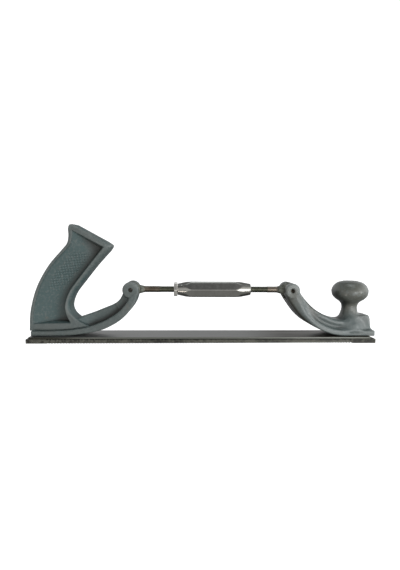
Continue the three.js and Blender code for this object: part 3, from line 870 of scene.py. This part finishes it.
def mottled_steel(name, dark, light, roughness, metallic=0.9, scale=160, stretch=None, bump=0.15):
    n = Nodes(name)
    mottle = n.noise(scale, 4, 0.6, stretch)
    broad = n.noise(30, 2)
    both_scales = n.math("ADD", n.math("MULTIPLY", mottle, 0.65), n.math("MULTIPLY", broad, 0.35))
    color = n.mix(n.range(both_scales, 0.38, 0.62), dark, light)
    rough = n.range(mottle, 0.3, 0.7, roughness * 0.8, roughness * 1.25)
    n.set(Base_Color=color, Roughness=rough, Metallic=metallic)
    n.bump(mottle, bump, 0.0003)
    return n.material


def rod_material(name, pin_x, thread_start):
    """Polished brown steel, with a dull mottled forging round the eye."""
    n = Nodes(name)
    from_pin = n.math("ABSOLUTE", n.math("SUBTRACT", n.split_place()["X"], pin_x * MM))
    forged = n.range(from_pin, 0.0115, 0.0145, 1.0, 0.0)
    mottle = n.noise(330, 4, 0.65)
    polished = n.mix(n.range(n.noise(70, 3), 0.4, 0.65), (0.085, 0.068, 0.052), (0.17, 0.145, 0.115))
    dull = n.mix(n.range(mottle, 0.38, 0.62), (0.050, 0.052, 0.040), (0.19, 0.20, 0.17))
    threaded = n.range(from_pin, (thread_start - 1) * MM, thread_start * MM)
    shank = n.mix(threaded, polished, (0.068, 0.070, 0.052))
    n.set(Base_Color=n.mix(forged, shank, dull), Roughness=n.range(forged, 0, 1, 0.26, 0.62))
    n.set(Metallic=n.range(forged, 0, 1, 0.95, 0.3))
    n.bump(mottle, 0.5, 0.0004)
    return n.material


def spring_material():
    """Rolled strip with faint lines along it, with a painted reflection of the knob's dark casting towards
    the knob, and a painted shadow on its edges at the handle end.
    """
    n = Nodes("spring_steel")
    lines = n.noise(140, 4, 0.6, (0.08, 1, 1))
    bright = n.mix(n.range(lines, 0.38, 0.62), (0.215, 0.214, 0.208), (0.31, 0.31, 0.304))
    # Painted reflection: the strip darkens to brown towards the knob, as if mirroring the knob's dark
    # casting.
    knob_reflection = n.mix(n.range(n.split_place()["X"], 0.030, 0.095, 0.0, 0.95), bright, (0.062, 0.050, 0.036))
    # Painted shadow: the strip's edges are dark at the handle end, under the handle's flange.
    side = n.mix(n.range(n.split_place()["X"], -0.150, -0.110), (0.035, 0.035, 0.028), (0.118, 0.122, 0.108))
    edged = n.mix(n.range(n.math("ABSOLUTE", n.split_place()["Y"]), 0.01705, 0.0173), knob_reflection, side)
    n.set(Base_Color=edged, Roughness=n.range(lines, 0.3, 0.7, 0.28, 0.42), Metallic=0.9)
    n.bump(lines, 0.12, 0.0003)
    return n.material


# ---- Setting ---------------------------------------------------------------------------------------
CAMERA_PLACE = (-0.021, -0.407, 0.093)
CAMERA_DEGREES = (2.46, 5.05, -0.46)
CAMERA_LENS = 35.73


def make_camera():
    yaw, pitch, roll = (math.radians(angle) for angle in CAMERA_DEGREES)
    forward = Vector((math.sin(yaw) * math.cos(pitch), math.cos(yaw) * math.cos(pitch), -math.sin(pitch)))
    level = Vector((math.cos(yaw), -math.sin(yaw), 0))
    down = forward.cross(level)
    right = level * math.cos(roll) + down * math.sin(roll)
    up = level * math.sin(roll) - down * math.cos(roll)
    data = bpy.data.cameras.new("camera")
    data.sensor_fit = "HORIZONTAL"
    data.sensor_width = 36
    data.lens = CAMERA_LENS
    data.clip_start = 0.01
    camera = bpy.data.objects.new("camera", data)
    bpy.context.scene.collection.objects.link(camera)
    turn = Matrix((right, up, -forward)).transposed().to_4x4()
    camera.matrix_world = Matrix.Translation(CAMERA_PLACE) @ turn
    bpy.context.scene.camera = camera


# Each entry: name, place, the point it faces, size, power, colour.
LIGHTS = (
    ("tall_panel", (0.30, -0.52, -0.04), (0.03, 0, 0.05), (0.13, 0.40), 0.62, (1, 1, 1)),
    ("low_card", (-0.28, -0.40, -0.26), (-0.01, 0, 0.05), (0.16, 0.05), 0.17, (1.0, 0.92, 0.84)),
    ("window", (0.53, -0.33, 0.05), (0.155, 0, 0.03), (0.07, 0.34), 0.40, (1, 1, 1)),
)


def area_light(name, place, target, size, power, color):
    data = bpy.data.lights.new(name, "AREA")
    data.shape = "RECTANGLE"
    data.size, data.size_y = size
    data.energy = power
    data.color = color
    light = bpy.data.objects.new(name, data)
    bpy.context.scene.collection.objects.link(light)
    light.location = place
    light.rotation_mode = "QUATERNION"
    light.rotation_quaternion = (Vector(target) - Vector(place)).to_track_quat("-Z", "Y")


# Soft light comes mostly from the right and from above. Each entry: direction, narrowness, strength, colour.
SKY = (
    ((0.80, -0.55, 0.20), 6, 1.7, (1.0, 1.0, 1.0)),
    ((0.95, 0.20, 0.25), 8, 1.0, (0.96, 1.0, 1.0)),
    ((0.05, -0.10, 1.0), 30, 2.6, (0.94, 1.0, 1.02)),
    ((0.0, -1.0, 0.05), 8, 1.25, (1.0, 1.0, 1.0)),
    ((0.1, -0.35, -0.93), 3, 0.28, (1.0, 0.99, 0.95)),
    ((-0.85, -0.50, 0.0), 5, 0.65, (1.0, 0.97, 0.92)),
    ((0.0, 1.0, 0.12), 10, 0.34, (1.0, 1.0, 1.0)),
    ((0.75, 0.60, 0.35), 6, 0.45, (1.0, 1.0, 1.0)),
    ((-0.75, 0.60, 0.35), 6, 0.8, (1.0, 1.0, 1.0)),
)
SKY_BASE = (0.13, 0.135, 0.14)
# The floor lies below the bent blade at both ends of its travel.
FLOOR_Z = -20
FLOOR_RADIUS = 9000
DOME_RADIUS = 8900
DOME_SIDES = 48
DOME_RINGS = 12


def make_world():
    world = bpy.data.worlds.new("studio")
    world.use_nodes = True
    tree = world.node_tree

    def vector(operation, a, b=None, scale=None):
        node = tree.nodes.new("ShaderNodeVectorMath")
        node.operation = operation
        for value, socket in ((a, node.inputs[0]), (b, node.inputs[1]), (scale, node.inputs[3])):
            if isinstance(value, bpy.types.NodeSocket):
                tree.links.new(value, socket)
            elif value is not None:
                socket.default_value = value
        return node

    direction = tree.nodes.new("ShaderNodeTexCoord").outputs["Generated"]
    light = SKY_BASE
    for toward, narrowness, strength, color in SKY:
        facing = vector("DOT_PRODUCT", direction, tuple(Vector(toward).normalized())).outputs["Value"]
        clipped = tree.nodes.new("ShaderNodeMath")
        clipped.operation = "MAXIMUM"
        clipped.inputs[1].default_value = 0
        tree.links.new(facing, clipped.inputs[0])
        power = tree.nodes.new("ShaderNodeMath")
        power.operation = "POWER"
        power.inputs[1].default_value = narrowness
        tree.links.new(clipped.outputs[0], power.inputs[0])
        glow = vector("SCALE", tuple(strength * c for c in color), scale=power.outputs[0]).outputs[0]
        light = vector("ADD", light, glow).outputs[0]
    background = tree.nodes["Background"]
    tree.links.new(light, background.inputs["Color"])
    background.inputs["Strength"].default_value = 1.0
    bpy.context.scene.world = world


def glowing_material(name, gray, roughness, glow):
    material = bpy.data.materials.new(name)
    material.use_nodes = True
    shader = material.node_tree.nodes["Principled BSDF"]
    shader.inputs["Base Color"].default_value = (gray, gray, gray, 1)
    shader.inputs["Roughness"].default_value = roughness
    shader.inputs["Emission Color"].default_value = (1, 1, 1, 1)
    shader.inputs["Emission Strength"].default_value = glow
    return material


def circle(radius, z):
    turns = [2 * math.pi * i / DOME_SIDES for i in range(DOME_SIDES)]
    return [(radius * math.cos(turn), radius * math.sin(turn), z) for turn in turns]


def make_backdrop():
    """A white floor and a white dome round it."""
    floor = add_mesh("floor", circle(FLOOR_RADIUS, FLOOR_Z), [tuple(range(DOME_SIDES))])
    floor.data.materials.append(glowing_material("paper", 0.6, 1.0, 0.85))

    # The dome runs from a little below the horizon to almost overhead.
    dome_points = []
    for ring in range(DOME_RINGS):
        tilt = math.radians(-6 + 94 * ring / (DOME_RINGS - 1))
        dome_points += circle(DOME_RADIUS * math.cos(tilt), DOME_RADIUS * math.sin(tilt))
    dome_faces = []
    for ring in range(DOME_RINGS - 1):
        for i in range(DOME_SIDES):
            low, high, after = ring * DOME_SIDES, (ring + 1) * DOME_SIDES, (i + 1) % DOME_SIDES
            dome_faces.append((low + i, low + after, high + after, high + i))
    dome = add_mesh("dome", dome_points, dome_faces, smooth=True)
    dome.data.materials.append(glowing_material("dome", 0, 0.5, 1.2))
    for piece in (floor, dome):
        piece.visible_diffuse = False
        piece.visible_glossy = False
        piece.visible_shadow = False


def paint_rivets():
    """The strip's rivets stay as the CAD's own solids, and only take the dark steel."""
    for name in ("handle_strip_rivet", "knob_strip_rivet"):
        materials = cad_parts[name].data.materials
        materials.clear()
        materials.append(DARK_STEEL)


HANDLE_ENAMEL = enamel_material("handle_enamel", recess_tint, HANDLE_TINT, None, (0.44, 0.58), 0.0)
KNOB_ENAMEL = enamel_material("knob_enamel", knob_tint, KNOB_TINT, knob_underside_shade, (0.36, 0.48), 0.6)
DARK_STEEL = mottled_steel("dark_steel", (0.07, 0.055, 0.045), (0.16, 0.14, 0.11), 0.38)
HANDLE_ROD = rod_material("handle_rod_steel", HANDLE_PIN_X, HANDLE_THREAD_START)
KNOB_ROD = rod_material("knob_rod_steel", KNOB_PIN_X, KNOB_THREAD_START)
PLATED = mottled_steel("plated", (0.29, 0.285, 0.265), (0.33, 0.325, 0.305), 0.15, metallic=1.0, bump=0.01)
NUT_PLATED = mottled_steel(
    "nut_plated", (0.70, 0.67, 0.62), (0.84, 0.81, 0.76), 0.2, metallic=1.0, bump=0.05
)
SPRING = spring_material()
TOOTHED = mottled_steel(
    "file_steel", (0.010, 0.010, 0.007), (0.100, 0.099, 0.080), 0.5, metallic=0.4, scale=480
)

make_castings()
make_link()
make_fasteners()
make_strip()
make_file()
paint_rivets()

make_camera()
make_world()
make_backdrop()
for light in LIGHTS:
    area_light(*light)
bpy.context.scene.view_settings.view_transform = "Standard"
